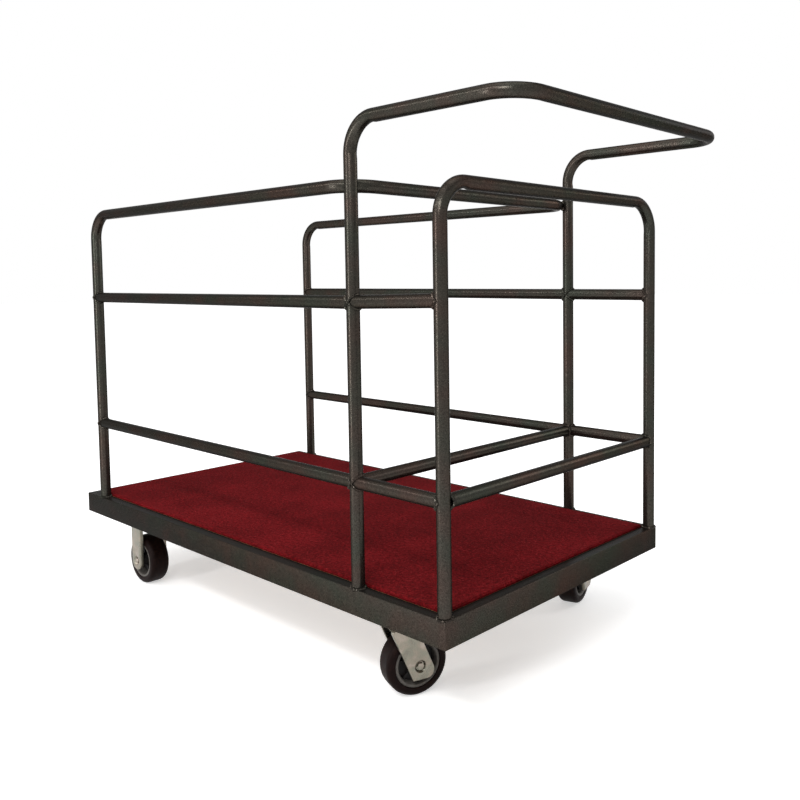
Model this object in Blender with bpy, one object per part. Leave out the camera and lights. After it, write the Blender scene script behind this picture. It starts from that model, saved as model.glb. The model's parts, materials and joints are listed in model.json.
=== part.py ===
"""Hotel luggage cart: a carpeted platform on two swivel and two rigid casters, with welded
tube rails round it and a raised push handle at one end.

Cart coordinates: x runs along the platform from its open end to its handle end, y from the
near long side to the far one, and z up from the ground, all in metres. at() moves them to
the model's origin, which lies on the ground under the middle of the whole cart."""

import math

import bmesh
import bpy
from mathutils import Matrix, Vector

GAP = 0.0003  # left between faces that touch

# Platform: a mitred frame of rectangular tube, cross members, a board and a carpet
PLATFORM_LENGTH = 1.350
PLATFORM_WIDTH = 0.704
FRAME_HEIGHT = 0.050
FRAME_WIDTH = 0.025
FRAME_WALL = 0.002
CROSS_MEMBER_WIDTH = 0.038
BOARD_THICKNESS = 0.012
CARPET_THICKNESS = 0.0065
CARPET_MARGIN = 0.0005  # from the frame's inner edge, or from a post that overhangs it

# Rails and posts: round steel tube, welded on the middle of the frame's top
TUBE_DIAMETER = 0.0254
TUBE_WALL = 0.0015
OPEN_POST_INSET = 0.080  # the loop's posts, from the open end
HANDLE_POST_INSET = 0.236  # the handle's posts, from the handle end
HANDLE_REACH = 0.388  # how far the handle's bar stands out past its posts
HANDLE_HEIGHT = 0.864  # this and the heights below run from the frame's top to a tube's axis
LOOP_HEIGHT = 0.748
END_HOOP_HEIGHT = 0.739
MIDDLE_RAIL_HEIGHT = 0.534
LOW_RAIL_HEIGHT = 0.200
NEAR_RAIL_RISE = 0.006  # the near short middle rail slopes up by this to the end hoop
# The loop's bend is tight enough to lie against the outer side of the handle's post.
BEND_RADIUS = (TUBE_DIAMETER + GAP) / (math.sqrt(2) - 1)

# Casters
CASTER_INSET_X = 0.200
CASTER_INSET_Y = 0.068
WHEEL_DIAMETER = 0.125
TREAD_WIDTH = 0.048
SHOULDER = 0.009
RIM_RADIUS = 0.046
RIM_LIP = 0.006
RIM_WIDTH = 0.044
WEB_THICKNESS = 0.008
HUB_RADIUS = 0.0155
HUB_WIDTH = 0.052
SWIVEL_OFFSET = 0.038
NEAR_TRAIL = math.radians(70)  # the way each swivel caster's wheel trails, from +X
FAR_TRAIL = math.radians(105)
FORK_RAKE = math.radians(22.5)
FORK_THICKNESS = 0.0035
FORK_LEG_DEPTH = 0.009  # each leg is a shallow channel, open towards the wheel
FORK_SEAT_DEPTH = 0.0055  # the pressed seat that the bolt's head or nut lies in
FORK_SEAT_CLEARANCE = 0.0015  # round the corners of that head
FORK_SIDE_CLEARANCE = 0.0015  # between a fork's leg and the hub's end
FORK_TOP_CLEARANCE = 0.0135
SWIVEL_LEG_WIDTH = 0.048
SWIVEL_FOOT_DROP = 0.026
SWIVEL_FOOT_ROUND = 0.016
CROWN_ROUND = 0.006
RIGID_LEG_WIDTH = 0.046
RIGID_FOOT_ROUND = 0.022
RACE_HEIGHT = 0.0159
RACE_RADIUS = 0.026
KINGPIN_RADIUS = 0.006
RACE_BORE = 2 * KINGPIN_RADIUS  # room for the balls round the kingpin
KINGPIN_NUT_RADIUS = 0.011
KINGPIN_NUT_HEIGHT = 0.005
TOP_PLATE = (0.105, 0.085, 0.004)
PAD = (0.120, 0.114, 0.005)
PLATE_CORNER = 0.008
BOLT_SPACING = (0.080, 0.060)
BOLT_HOLE_RADIUS = 0.0045
AXLE_RADIUS = 0.004
AXLE_HEAD_FLATS = 0.013
AXLE_HEAD_HEIGHT = 0.0053
AXLE_NUT_HEIGHT = 0.0068
AXLE_END = 0.003  # thread past the nut
BUSH_WALL = 0.0017

TUBE_SIDES = 16
BEND_STEPS = 5
CUTTER_SIDES = 24
WHEEL_SIDES = 32  # a multiple of 4 puts a corner on the ground
CORE_SIDES = 20
SMALL_SIDES = 12  # a multiple of 6 draws the hexagons
ROUND_STEPS = 4

# Heights that follow from the caster's stack
AXLE_HEIGHT = WHEEL_DIAMETER / 2
CROWN_BOTTOM = WHEEL_DIAMETER + FORK_TOP_CLEARANCE
CROWN_TOP = CROWN_BOTTOM + FORK_THICKNESS
RACE_BOTTOM = CROWN_TOP + GAP
PLATE_BOTTOM = RACE_BOTTOM + RACE_HEIGHT + GAP
PLATE_TOP = PLATE_BOTTOM + TOP_PLATE[2]
PAD_BOTTOM = PLATE_TOP + GAP
FRAME_BOTTOM = PAD_BOTTOM + PAD[2] + GAP
FRAME_TOP = FRAME_BOTTOM + FRAME_HEIGHT
BOARD_BOTTOM = FRAME_TOP - BOARD_THICKNESS
TUBE_FOOT = FRAME_TOP + GAP

# Places of the tubes' axes
TUBE_RADIUS = TUBE_DIAMETER / 2
NEAR_Y = FRAME_WIDTH / 2
FAR_Y = PLATFORM_WIDTH - NEAR_Y
OPEN_POST_X = OPEN_POST_INSET
HANDLE_POST_X = PLATFORM_LENGTH - HANDLE_POST_INSET
END_POST_X = PLATFORM_LENGTH - FRAME_WIDTH / 2
HANDLE_BAR_X = HANDLE_POST_X + HANDLE_REACH
HANDLE_Z = FRAME_TOP + HANDLE_HEIGHT
LOOP_Z = FRAME_TOP + LOOP_HEIGHT
END_HOOP_Z = FRAME_TOP + END_HOOP_HEIGHT
MIDDLE_RAIL_Z = FRAME_TOP + MIDDLE_RAIL_HEIGHT
LOW_RAIL_Z = FRAME_TOP + LOW_RAIL_HEIGHT

# Widths inside the casters
FORK_INNER = HUB_WIDTH / 2 + FORK_SIDE_CLEARANCE
FORK_OUTER = FORK_INNER + FORK_LEG_DEPTH
FORK_SEAT = FORK_OUTER - FORK_SEAT_DEPTH
FORK_SEAT_RADIUS = AXLE_HEAD_FLATS / 2 / math.cos(math.pi / 6) + FORK_SEAT_CLEARANCE
BUSH_BORE = AXLE_RADIUS + GAP
BUSH_RADIUS = BUSH_BORE + BUSH_WALL

# Half outline of the tread, from its inner edge to its middle: (radius, distance along the axle)
TREAD_PROFILE = (
    (RIM_RADIUS + GAP, TREAD_WIDTH / 2),
    (WHEEL_DIAMETER / 2 - SHOULDER, TREAD_WIDTH / 2),
    (WHEEL_DIAMETER / 2 - SHOULDER * 0.3, TREAD_WIDTH / 2 - SHOULDER * 0.3),
    (WHEEL_DIAMETER / 2, TREAD_WIDTH / 2 - SHOULDER),
)


def wheel_reach(trail):
    """How far a swivel caster's wheel reaches past its swivel axis in y, on the far side."""
    rims = [
        radius * abs(math.sin(trail)) + along * abs(math.cos(trail))
        for radius, along in TREAD_PROFILE
    ]
    return SWIVEL_OFFSET * math.sin(trail) + max(rims)


FAR_EDGE = max(PLATFORM_WIDTH, PLATFORM_WIDTH - CASTER_INSET_Y + wheel_reach(FAR_TRAIL))
HANDLE_EDGE = max(PLATFORM_LENGTH, HANDLE_BAR_X + TUBE_RADIUS)


def at(x, y, z=0.0):
    """A point of the cart, from the model's origin."""
    return Vector((x - HANDLE_EDGE / 2, y - FAR_EDGE / 2, z))


# ---------------------------------------------------------------- helpers


def finish(name, colour, roughness, metallic):
    """A plain Principled material, made once for each name."""
    material = bpy.data.materials.get(name)
    if material is None:
        material = bpy.data.materials.new(name)
        material.use_nodes = True
        shader = material.node_tree.nodes["Principled BSDF"]
        shader.inputs["Base Color"].default_value = (*colour, 1.0)
        shader.inputs["Roughness"].default_value = roughness
        shader.inputs["Metallic"].default_value = metallic
    return material


def bronze_paint():
    return finish("bronze_powder_coat", (0.040, 0.032, 0.026), 0.38, 0.3)


def zinc():
    return finish("zinc_plated_steel", (0.42, 0.40, 0.37), 0.35, 1.0)


def add_piece(name, bm, material, place=(0, 0, 0), turn=0.0, smooth=True):
    """An object of its own from a bmesh, at this place and turned about its vertical axis."""
    bmesh.ops.recalc_face_normals(bm, faces=bm.faces)
    mesh = bpy.data.meshes.new(name)
    bm.to_mesh(mesh)
    bm.free()
    if smooth:
        mesh.shade_smooth()
        mesh.set_sharp_from_angle(angle=math.radians(35))
    if material is not None:
        mesh.materials.append(material)
    piece = bpy.data.objects.new(name, mesh)
    piece.location = place
    piece.rotation_euler = (0, 0, turn)
    bpy.context.scene.collection.objects.link(piece)
    return piece


def make_cutter(name, bm, place=(0, 0, 0), turn=0.0):
    cutter = add_piece(name, bm, None, place, turn, smooth=False)
    cutter.hide_render = True
    cutter.display_type = "WIRE"
    return cutter


def cut(piece, *cutters):
    for cutter in cutters:
        boolean = piece.modifiers.new("cut by " + cutter.name, "BOOLEAN")
        boolean.operation = "DIFFERENCE"
        boolean.solver = "EXACT"
        boolean.object = cutter


def box(low, high):
    """A bmesh of a box between two corners."""
    bm = bmesh.new()
    bmesh.ops.create_cube(bm, size=1.0)
    low = Vector(low)
    high = Vector(high)
    bmesh.ops.scale(bm, vec=high - low, verts=bm.verts)
    bmesh.ops.translate(bm, vec=(low + high) / 2, verts=bm.verts)
    return bm


def round_upright_edges(bm, radius, steps=2):
    upright = [e for e in bm.edges if abs((e.verts[0].co - e.verts[1].co).z) > 1e-6]
    bmesh.ops.bevel(
        bm, geom=upright, offset=radius, segments=steps, profile=0.5, affect="EDGES"
    )


def cylinder(radius, start, end, sides):
    """A bmesh of a cylinder between two points."""
    bm = bmesh.new()
    start = Vector(start)
    along = Vector(end) - start
    bmesh.ops.create_cone(
        bm,
        cap_ends=True,
        segments=sides,
        radius1=radius,
        radius2=radius,
        depth=along.length,
    )
    turn = Vector((0, 0, 1)).rotation_difference(along).to_matrix().to_4x4()
    bmesh.ops.transform(
        bm, matrix=Matrix.Translation(start + along / 2) @ turn, verts=bm.verts
    )
    return bm


def arc_at_corner(before, corner, after, radius, steps):
    """The points of the arc that rounds a corner of a path with this radius."""
    back = (before - corner).normalized()
    ahead = (after - corner).normalized()
    half = back.angle(ahead) / 2
    start = corner + back * radius / math.tan(half)
    end = corner + ahead * radius / math.tan(half)
    centre = corner + (back + ahead).normalized() * radius / math.sin(half)
    axis = (start - centre).cross(end - centre).normalized()
    sweep = math.pi - 2 * half
    return [
        centre + Matrix.Rotation(sweep * step / steps, 3, axis) @ (start - centre)
        for step in range(steps + 1)
    ]


def bent_path(corners, radius):
    """A tube's centre line through its corners, with a bend at each but the ends."""
    corners = [Vector(corner) for corner in corners]
    path = [corners[0]]
    for before, corner, after in zip(corners, corners[1:], corners[2:]):
        path += arc_at_corner(before, corner, after, radius, BEND_STEPS)
    return path + [corners[-1]]


def swept_ring(path, radius):
    """The rings of a round tube along a path, mitred at each of its points."""
    ahead = (path[1] - path[0]).normalized()
    side = ahead.orthogonal().normalized()
    up = ahead.cross(side)
    turns = [2 * math.pi * step / TUBE_SIDES for step in range(TUBE_SIDES)]
    ring = [
        path[0] + radius * (math.cos(turn) * side + math.sin(turn) * up)
        for turn in turns
    ]
    rings = [ring]
    for index in range(1, len(path)):
        here = path[index]
        into = (here - path[index - 1]).normalized()
        out = into if index == len(path) - 1 else (path[index + 1] - here).normalized()
        plane = (into + out).normalized()
        ring = [
            point + into * (here - point).dot(plane) / into.dot(plane) for point in ring
        ]
        rings.append(ring)
    return rings


def join_rings(bm, rings, closed=False):
    """Faces between rings of vertices one after another, which may end in single vertices."""
    pairs = list(zip(rings, rings[1:]))
    if closed:
        pairs.append((rings[-1], rings[0]))
    for first, second in pairs:
        count = max(len(first), len(second))
        for step in range(count):
            following = (step + 1) % count
            loop = [first[step % len(first)], first[following % len(first)]]
            loop += [second[following % len(second)], second[step % len(second)]]
            bm.faces.new(list(dict.fromkeys(loop)))


def hollow_tube(path):
    """A bmesh of the round tube along a path, open at both ends."""
    bm = bmesh.new()
    outer = swept_ring(path, TUBE_RADIUS)
    inner = swept_ring(path, TUBE_RADIUS - TUBE_WALL)
    rings = [[bm.verts.new(point) for point in ring] for ring in outer + inner[::-1]]
    join_rings(bm, rings, closed=True)
    return bm


def hexagon_radius(flats, turn):
    """The distance from a hexagon's middle to its edge in this direction."""
    sector = math.pi / 3
    return flats / 2 / math.cos(turn % sector - sector / 2)


def turned(profile, sides, closed=True, along_y=True):
    """A bmesh turned about the z axis, then laid along y. Each point of the profile is
    (radius, place along the axis), and a third value "hex" makes the radius half of the
    distance across a hexagon's flats."""
    bm = bmesh.new()
    rings = []
    for radius, along, *kind in profile:
        if radius == 0:
            rings.append([bm.verts.new((0, 0, along))])
            continue
        ring = []
        for step in range(sides):
            turn = 2 * math.pi * step / sides
            reach = hexagon_radius(2 * radius, turn) if kind else radius
            ring.append(
                bm.verts.new((reach * math.cos(turn), reach * math.sin(turn), along))
            )
        rings.append(ring)
    join_rings(bm, rings, closed)
    if along_y:
        bmesh.ops.rotate(
            bm, matrix=Matrix.Rotation(-math.pi / 2, 3, "X"), verts=bm.verts
        )
    return bm


def mirrored(profile):
    """A closed profile from its half on one side of the middle. The two halves are joined
    by straight lines between their first points and between their last ones."""
    return list(profile) + [(radius, -along) for radius, along in reversed(profile)]


def side_plate(outline, half_width):
    """A bmesh of an outline in the xz plane, extruded to both sides along y."""
    bm = bmesh.new()
    face = bm.faces.new([bm.verts.new((p.x, -half_width, p.z)) for p in outline])
    grown = bmesh.ops.extrude_face_region(bm, geom=[face])
    moved = [item for item in grown["geom"] if isinstance(item, bmesh.types.BMVert)]
    bmesh.ops.translate(bm, vec=(0, 2 * half_width, 0), verts=moved)
    return bm


def rounded_outline(corners):
    """A closed outline in the xz plane. Each corner is (x, z, radius)."""
    points = [Vector((x, 0, z)) for x, z, radius in corners]
    outline = []
    for index, (x, z, radius) in enumerate(corners):
        before = points[index - 1]
        after = points[(index + 1) % len(points)]
        if radius:
            outline += arc_at_corner(before, points[index], after, radius, ROUND_STEPS)
        else:
            outline.append(points[index])
    return outline


# ---------------------------------------------------------------- platform


def mitred_rail(name, length, place, turn):
    """One side of the frame, whose outer face is local y = 0. Its ends are cut at 45 degrees."""
    bm = bmesh.new()
    shift = GAP / math.sqrt(2)
    ends = []
    for inset in (0, FRAME_WALL):
        near, far = inset, FRAME_WIDTH - inset
        low, high = inset, FRAME_HEIGHT - inset
        corners = [(near, low), (far, low), (far, high), (near, high)]
        ends.append([bm.verts.new((y + shift, y, z)) for y, z in corners])
        ends.append([bm.verts.new((length - y - shift, y, z)) for y, z in corners])
    outer_start, outer_end, inner_start, inner_end = ends
    join_rings(bm, [outer_start, outer_end, inner_end, inner_start], closed=True)
    return add_piece(name, bm, bronze_paint(), place, turn, smooth=False)


def build_frame():
    quarter = math.pi / 2
    length, width = PLATFORM_LENGTH, PLATFORM_WIDTH
    mitred_rail("frame_long_rail_near", length, at(0, 0, FRAME_BOTTOM), 0)
    mitred_rail("frame_long_rail_far", length, at(length, width, FRAME_BOTTOM), 2 * quarter)
    mitred_rail("frame_end_rail_open", width, at(0, width, FRAME_BOTTOM), -quarter)
    mitred_rail("frame_end_rail_handle", width, at(length, 0, FRAME_BOTTOM), quarter)


def build_cross_members():
    """Square tubes across the frame, flush with its bottom and carrying the board."""
    half = CROSS_MEMBER_WIDTH / 2
    height = BOARD_BOTTOM - GAP - FRAME_BOTTOM
    span = PLATFORM_WIDTH - 2 * FRAME_WIDTH - 2 * GAP
    places = {
        "cross_member_open": CASTER_INSET_X,
        "cross_member_middle": PLATFORM_LENGTH / 2,
        "cross_member_handle": PLATFORM_LENGTH - CASTER_INSET_X,
    }
    for name, x in places.items():
        bm = bmesh.new()
        rings = []
        for inset, ys in ((0, (0, span)), (FRAME_WALL, (span, 0))):
            side, low, high = half - inset, inset, height - inset
            corners = [(-side, low), (side, low), (side, high), (-side, high)]
            rings += [[bm.verts.new((cx, y, cz)) for cx, cz in corners] for y in ys]
        join_rings(bm, rings, closed=True)
        place = at(x, FRAME_WIDTH + GAP, FRAME_BOTTOM)
        add_piece(name, bm, bronze_paint(), place, smooth=False)


def build_deck():
    margin = FRAME_WIDTH + GAP
    size = (PLATFORM_LENGTH - 2 * margin, PLATFORM_WIDTH - 2 * margin, BOARD_THICKNESS)
    plywood = finish("plywood", (0.30, 0.20, 0.11), 0.7, 0.0)
    add_piece(
        "deck_board", box((0, 0, 0), size), plywood, at(margin, margin, BOARD_BOTTOM)
    )
    margin = max(FRAME_WIDTH, NEAR_Y + TUBE_RADIUS) + CARPET_MARGIN
    size = (PLATFORM_LENGTH - 2 * margin, PLATFORM_WIDTH - 2 * margin, CARPET_THICKNESS)
    red = finish("needle_punch_carpet", (0.115, 0.008, 0.010), 0.95, 0.0)
    add_piece(
        "deck_carpet", box((0, 0, 0), size), red, at(margin, margin, FRAME_TOP + GAP)
    )


# ---------------------------------------------------------------- rails


def build_bent_tubes():
    """The three tubes that are bent in one piece, each open at its two feet."""
    routes = {
        "handle_hoop": (
            (HANDLE_POST_X, NEAR_Y, TUBE_FOOT),
            (HANDLE_POST_X, NEAR_Y, HANDLE_Z),
            (HANDLE_BAR_X, NEAR_Y, HANDLE_Z),
            (HANDLE_BAR_X, FAR_Y, HANDLE_Z),
            (HANDLE_POST_X, FAR_Y, HANDLE_Z),
            (HANDLE_POST_X, FAR_Y, TUBE_FOOT),
        ),
        "top_rail_loop": (
            (OPEN_POST_X, NEAR_Y, TUBE_FOOT),
            (OPEN_POST_X, NEAR_Y, LOOP_Z),
            (HANDLE_POST_X, NEAR_Y, LOOP_Z),
            (HANDLE_POST_X, FAR_Y, LOOP_Z),
            (OPEN_POST_X, FAR_Y, LOOP_Z),
            (OPEN_POST_X, FAR_Y, TUBE_FOOT),
        ),
        "end_hoop": (
            (END_POST_X, NEAR_Y, TUBE_FOOT),
            (END_POST_X, NEAR_Y, END_HOOP_Z),
            (END_POST_X, FAR_Y, END_HOOP_Z),
            (END_POST_X, FAR_Y, TUBE_FOOT),
        ),
    }
    for name, corners in routes.items():
        foot = at(*corners[0])
        path = bent_path([at(*corner) - foot for corner in corners], BEND_RADIUS)
        add_piece(name, hollow_tube(path), bronze_paint(), foot)


def tube_cutter(name, start, end):
    """What a tube between these points, and its gap, takes out of a rail that meets it."""
    bm = cylinder(TUBE_RADIUS + GAP, at(*start), at(*end), CUTTER_SIDES)
    return make_cutter(name, bm)


def straight_rail(name, start, end, cutters):
    """A straight tube between two axes, coped to what it meets."""
    foot = at(*start)
    rail = add_piece(
        name, hollow_tube([Vector(), at(*end) - foot]), bronze_paint(), foot
    )
    cut(rail, *cutters)


def build_straight_rails():
    for side, y, rise in (("near", NEAR_Y, NEAR_RAIL_RISE), ("far", FAR_Y, 0.0)):
        posts = {
            name: tube_cutter(f"cutter_{name}_post_{side}", (x, y, TUBE_FOOT), (x, y, top))
            for name, x, top in (
                ("open", OPEN_POST_X, LOOP_Z),
                ("handle", HANDLE_POST_X, HANDLE_Z),
                ("end", END_POST_X, END_HOOP_Z),
            )
        }
        for level, z, lift in (
            ("middle", MIDDLE_RAIL_Z, rise),
            ("low", LOW_RAIL_Z, 0.0),
        ):
            straight_rail(
                f"{level}_rail_long_{side}",
                (OPEN_POST_X, y, z),
                (HANDLE_POST_X, y, z),
                (posts["open"], posts["handle"]),
            )
            straight_rail(
                f"{level}_rail_short_{side}",
                (HANDLE_POST_X, y, z),
                (END_POST_X, y, z + lift),
                (posts["handle"], posts["end"]),
            )


def build_low_crossbars():
    """The two bars across the cart between the low rails, coped to posts and rails alike."""
    rails = [
        tube_cutter(
            f"cutter_low_rail_{side}", (OPEN_POST_X, y, LOW_RAIL_Z), (HANDLE_BAR_X, y, LOW_RAIL_Z)
        )
        for side, y in (("near", NEAR_Y), ("far", FAR_Y))
    ]
    for name, x in (("handle", HANDLE_POST_X), ("end", END_POST_X)):
        posts = [bpy.data.objects[f"cutter_{name}_post_{side}"] for side in ("near", "far")]
        straight_rail(
            f"low_crossbar_{name}",
            (x, NEAR_Y, LOW_RAIL_Z),
            (x, FAR_Y, LOW_RAIL_Z),
            posts + rails,
        )


# ---------------------------------------------------------------- casters


def plate_mesh(size, bottom):
    half_x, half_y = size[0] / 2, size[1] / 2
    bm = box((-half_x, -half_y, bottom), (half_x, half_y, bottom + size[2]))
    round_upright_edges(bm, PLATE_CORNER)
    return bm


def bolt_hole_cutter(name, place):
    """Four upright cylinders through a pad and the plate under it."""
    bm = bmesh.new()
    for side_x in (-1, 1):
        for side_y in (-1, 1):
            x = side_x * BOLT_SPACING[0] / 2
            y = side_y * BOLT_SPACING[1] / 2
            depth = FRAME_TOP - CROWN_TOP
            turn = Matrix.Translation((x, y, CROWN_TOP + depth / 2))
            bmesh.ops.create_cone(
                bm,
                cap_ends=True,
                segments=SMALL_SIDES,
                radius1=BOLT_HOLE_RADIUS,
                radius2=BOLT_HOLE_RADIUS,
                depth=depth,
                matrix=turn,
            )
    return make_cutter(name, bm, place)


def inset_outline(outline, inset):
    """A convex outline in the xz plane, moved in by a distance on every side."""
    middle = sum(outline, Vector()) / len(outline)
    lines = []
    for start, end in zip(outline, outline[1:] + outline[:1]):
        along = (end - start).normalized()
        inward = Vector((-along.z, 0, along.x))
        if inward.dot(middle - start) < 0:
            inward.negate()
        lines.append((start + inward * inset, along))
    moved = []
    for (before, into), (here, along) in zip([lines[-1]] + lines[:-1], lines):
        turn = into.x * along.z - into.z * along.x
        gap = here - before
        moved.append(before + into * (gap.x * along.z - gap.z * along.x) / turn)
    return moved


def fork_legs(name, outline, inner_outline, top, place, turn, trail):
    """Two legs, each a channel open towards the wheel, under one roof at this height. A boss
    in each leg holds the seat and the hole of the axle bolt."""
    fork = add_piece(name, side_plate(outline, FORK_OUTER), zinc(), place, turn)
    web = FORK_OUTER - FORK_THICKNESS
    hollow = make_cutter(f"cutter_{name}_hollow", side_plate(inner_outline, web), place, turn)
    reach = SWIVEL_OFFSET + WHEEL_DIAMETER
    low, high = (-reach, -FORK_INNER, -AXLE_HEIGHT), (reach, FORK_INNER, top)
    space = make_cutter(f"cutter_{name}_space", box(low, high), place, turn)
    cut(fork, hollow)
    boss_radius = FORK_SEAT_RADIUS + FORK_THICKNESS
    axle = (trail, AXLE_HEIGHT)
    overlap = FORK_THICKNESS / 2
    boss = across_cylinder(boss_radius, axle, -web - overlap, web + overlap)
    joined = fork.modifiers.new("bosses", "BOOLEAN")
    joined.operation = "UNION"
    joined.solver = "EXACT"
    joined.object = make_cutter(f"cutter_{name}_boss", boss, place, turn)
    cut(fork, space)
    beyond = 2 * FORK_OUTER
    for end, near, far in (("head", -beyond, -FORK_SEAT), ("nut", FORK_SEAT, beyond)):
        seat = across_cylinder(FORK_SEAT_RADIUS, axle, near, far)
        cut(fork, make_cutter(f"cutter_{name}_{end}_seat", seat, place, turn))
    hole = across_cylinder(AXLE_RADIUS + GAP, axle, -beyond, beyond)
    cut(fork, make_cutter(f"cutter_{name}_axle", hole, place, turn))
    return fork


def across_cylinder(radius, centre, start, end):
    """A bmesh of a cylinder along y, whose axis is at this x and z."""
    x, z = centre
    return cylinder(radius, (x, start, z), (x, end, z), SMALL_SIDES)


def build_swivel_fork(name, place, turn):
    """Two raked legs joined by a crown, in one pressing. Local x is the way it trails."""
    half = SWIVEL_LEG_WIDTH / 2 / math.cos(FORK_RAKE)
    foot = AXLE_HEIGHT - SWIVEL_FOOT_DROP

    def centre(z):
        return SWIVEL_OFFSET - (z - AXLE_HEIGHT) * math.tan(FORK_RAKE)

    outline = rounded_outline(
        (
            (centre(CROWN_TOP) - half, CROWN_TOP, CROWN_ROUND),
            (centre(CROWN_TOP) + half, CROWN_TOP, CROWN_ROUND),
            (centre(foot) + half, foot, SWIVEL_FOOT_ROUND),
            (centre(foot) - half, foot, 0),
        )
    )
    inner = inset_outline(outline, FORK_THICKNESS)
    fork = fork_legs(name, outline, inner, CROWN_BOTTOM, place, turn, SWIVEL_OFFSET)
    hole = cylinder(
        KINGPIN_RADIUS + GAP, (0, 0, CROWN_BOTTOM - GAP), (0, 0, FRAME_TOP), SMALL_SIDES
    )
    cut(fork, make_cutter(f"cutter_{name}_kingpin", hole, place, turn))


def build_swivel_head(side, place):
    """What stays with the platform above a swivel fork: top plate, race and kingpin."""
    plate = add_piece(
        f"swivel_plate_{side}", plate_mesh(TOP_PLATE, PLATE_BOTTOM), zinc(), place
    )
    hole = cylinder(
        KINGPIN_RADIUS + GAP, (0, 0, CROWN_TOP), (0, 0, FRAME_TOP), SMALL_SIDES
    )
    cut(plate, make_cutter(f"cutter_plate_{side}_kingpin", hole, place))
    low, high = RACE_BOTTOM, RACE_BOTTOM + RACE_HEIGHT
    cone = RACE_HEIGHT / 3
    profile = (
        (RACE_BORE, low),
        (RACE_RADIUS - cone, low),
        (RACE_RADIUS, low + cone),
        (RACE_RADIUS, high - cone),
        (RACE_RADIUS - cone / 2, high),
        (RACE_BORE, high),
    )
    race = turned(profile, SMALL_SIDES, along_y=False)
    add_piece(f"ball_race_{side}", race, zinc(), place)
    nut_top = CROWN_BOTTOM - GAP
    profile = (
        (0, nut_top - KINGPIN_NUT_HEIGHT),
        (KINGPIN_NUT_RADIUS, nut_top - KINGPIN_NUT_HEIGHT),
        (KINGPIN_NUT_RADIUS, nut_top),
        (KINGPIN_RADIUS, nut_top),
        (KINGPIN_RADIUS, PLATE_TOP),
        (0, PLATE_TOP),
    )
    kingpin = turned(profile, SMALL_SIDES, closed=False, along_y=False)
    add_piece(f"kingpin_{side}", kingpin, zinc(), place)


def build_rigid_fork(name, place, hole_cutter):
    """Two upright legs under a bolting plate, in one welded piece."""
    half = RIGID_LEG_WIDTH / 2
    foot = AXLE_HEIGHT - half
    top = PLATE_TOP - TOP_PLATE[2] / 2
    outline = rounded_outline(
        (
            (-half, top, 0),
            (half, top, 0),
            (half, foot, RIGID_FOOT_ROUND),
            (-half, foot, RIGID_FOOT_ROUND),
        )
    )
    inner = inset_outline(outline, FORK_THICKNESS)
    fork = fork_legs(name, outline, inner, PLATE_BOTTOM + GAP, place, 0.0, 0.0)
    top_plate = make_cutter(f"cutter_{name}_plate", plate_mesh(TOP_PLATE, PLATE_BOTTOM), place)
    joined = fork.modifiers.new("plate", "BOOLEAN")
    joined.operation = "UNION"
    joined.solver = "EXACT"
    joined.object = top_plate
    cut(fork, hole_cutter)


def build_axle(name, place, turn):
    """The bolt through the fork, its nut, and the bush that the wheel turns on."""
    side = FORK_SEAT + GAP
    head = -side - AXLE_HEAD_HEIGHT
    end = side + AXLE_NUT_HEIGHT + AXLE_END
    profile = (
        (0, head),
        (AXLE_HEAD_FLATS / 2, head, "hex"),
        (AXLE_HEAD_FLATS / 2, -side, "hex"),
        (AXLE_RADIUS, -side),
        (AXLE_RADIUS, end),
        (0, end),
    )
    bolt = turned(profile, SMALL_SIDES, closed=False)
    add_piece(f"axle_bolt_{name}", bolt, zinc(), place, turn)
    profile = (
        (AXLE_RADIUS + GAP, side),
        (AXLE_HEAD_FLATS / 2, side, "hex"),
        (AXLE_HEAD_FLATS / 2, side + AXLE_NUT_HEIGHT, "hex"),
        (AXLE_RADIUS + GAP, side + AXLE_NUT_HEIGHT),
    )
    add_piece(f"axle_nut_{name}", turned(profile, SMALL_SIDES), zinc(), place, turn)
    half = FORK_INNER - GAP
    profile = ((BUSH_BORE, -half), (BUSH_RADIUS, -half), (BUSH_RADIUS, half), (BUSH_BORE, half))
    add_piece(f"axle_bush_{name}", turned(profile, SMALL_SIDES), zinc(), place, turn)


def build_wheel(name, place, turn):
    grey = finish("grey_nylon", (0.10, 0.095, 0.09), 0.5, 0.0)
    brown = finish("brown_polyurethane", (0.018, 0.011, 0.009), 0.45, 0.0)
    profile = mirrored(
        (
            (BUSH_RADIUS + GAP, HUB_WIDTH / 2),
            (HUB_RADIUS, HUB_WIDTH / 2),
            (HUB_RADIUS, WEB_THICKNESS / 2),
            (RIM_RADIUS - RIM_LIP, WEB_THICKNESS / 2),
            (RIM_RADIUS - RIM_LIP, RIM_WIDTH / 2),
            (RIM_RADIUS, RIM_WIDTH / 2),
        )
    )
    add_piece(f"wheel_core_{name}", turned(profile, CORE_SIDES), grey, place, turn)
    tread = turned(mirrored(TREAD_PROFILE), WHEEL_SIDES)
    add_piece(f"wheel_tread_{name}", tread, brown, place, turn)


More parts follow.
